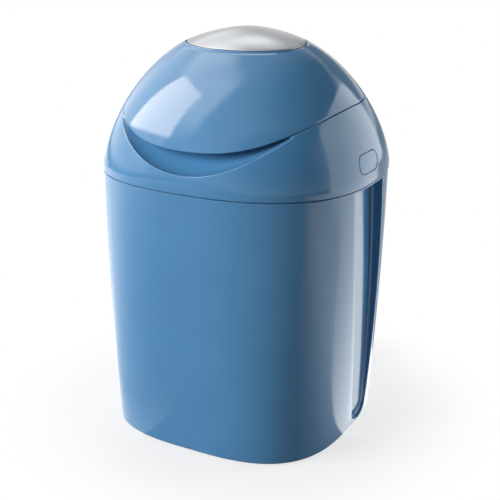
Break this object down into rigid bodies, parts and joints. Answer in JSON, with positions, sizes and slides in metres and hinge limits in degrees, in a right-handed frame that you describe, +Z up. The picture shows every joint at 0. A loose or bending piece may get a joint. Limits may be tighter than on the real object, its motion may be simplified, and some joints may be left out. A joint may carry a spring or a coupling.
{
  "type": "nappy bin",
  "caption": "Tall tapered blue nappy bin: tub with side grips, head that tilts back, domed lid with a finger scoop and top plate, twisting cassette drum.",
  "frame": {"origin": "on the floor that the bin stands on, below the middle of the whole bin with its rear hinges", "axes": "+Z up, front with the finger scoop faces -Y, +X is to the right of someone facing +Y"},
  "size_m": [0.2866, 0.2754, 0.42],
  "materials": {
    "blue_casing": "glossy moulded mid blue",
    "blue_lid": "polished mid blue",
    "blue_button": "glossy moulded mid blue",
    "satin_plate": "satin silver paint",
    "inner_plastic": "fine matt moulding",
    "drum_plastic": "fine matt moulding",
    "cassette_plastic": "thin glossy moulding",
    "film": "pleated plastic film",
    "black_rubber": "matt rubber",
    "gripper_rubber": "soft flexible fingers",
    "pin_steel": "drawn steel rod",
    "screw_steel": "zinc plated",
    "spring_steel": "spring wire",
    "blade_steel": "ground blade",
    "cutter_orange": "moulded orange"
  },
  "bodies": {
    "tub": {"tub": "blue_casing", "feet": "black_rubber", "tilt_hinge_pin": "pin_steel"},
    "head": {"head_shell": "blue_casing", "deck": "inner_plastic", "deck_screws": "screw_steel", "bearing_ring": "inner_plastic", "drum_housing": "inner_plastic", "film_gripper": "gripper_rubber", "latch_guide_right": "inner_plastic", "latch_guide_left": "inner_plastic", "cutter_rail": "inner_plastic", "rail_screws": "screw_steel", "lid_hinge_pin": "pin_steel", "button_spring_right": "spring_steel", "button_spring_left": "spring_steel"},
    "lid": {"lid_shell": "blue_lid", "lid_liner": "inner_plastic", "lid_seal": "black_rubber", "top_plate": "satin_plate"},
    "right_button": {"release_button_right": "blue_button"},
    "left_button": {"release_button_left": "blue_button"},
    "drum": {"twist_drum": "drum_plastic", "cassette_body": "cassette_plastic", "cassette_cap": "cassette_plastic", "film_pack": "film"},
    "cutter": {"cutter_slider": "cutter_orange", "cutter_blade": "blade_steel"}
  },
  "joints": [
    {"name": "head_tilt", "type": "hinge", "parent": "tub", "child": "head", "pos_m": [0, 0.1331, 0.27735], "axis": [-1, 0, 0], "range_deg": [0, 85]},
    {"name": "lid_open", "type": "hinge", "parent": "head", "child": "lid", "pos_m": [0, 0.11179, 0.35205], "axis": [-1, 0, 0], "range_deg": [0, 95]},
    {"name": "press_right", "type": "slide", "parent": "head", "child": "right_button", "axis": [-1, 0, 0], "range_m": [0, 0.0035], "stiffness_N_per_m": 500, "springref_m": -0.002, "deforming": ["button_spring_right"]},
    {"name": "press_left", "type": "slide", "parent": "head", "child": "left_button", "axis": [1, 0, 0], "range_m": [0, 0.0035], "stiffness_N_per_m": 500, "springref_m": -0.002, "deforming": ["button_spring_left"]},
    {"name": "drum_twist", "type": "hinge", "parent": "head", "child": "drum", "pos_m": [0, -0.0097, 0.285], "axis": [0, 0, 1], "continuous": true},
    {"name": "cutter_slide", "type": "slide", "parent": "head", "child": "cutter", "axis": [1, 0, 0], "range_m": [0, 0.05]}
  ]
}
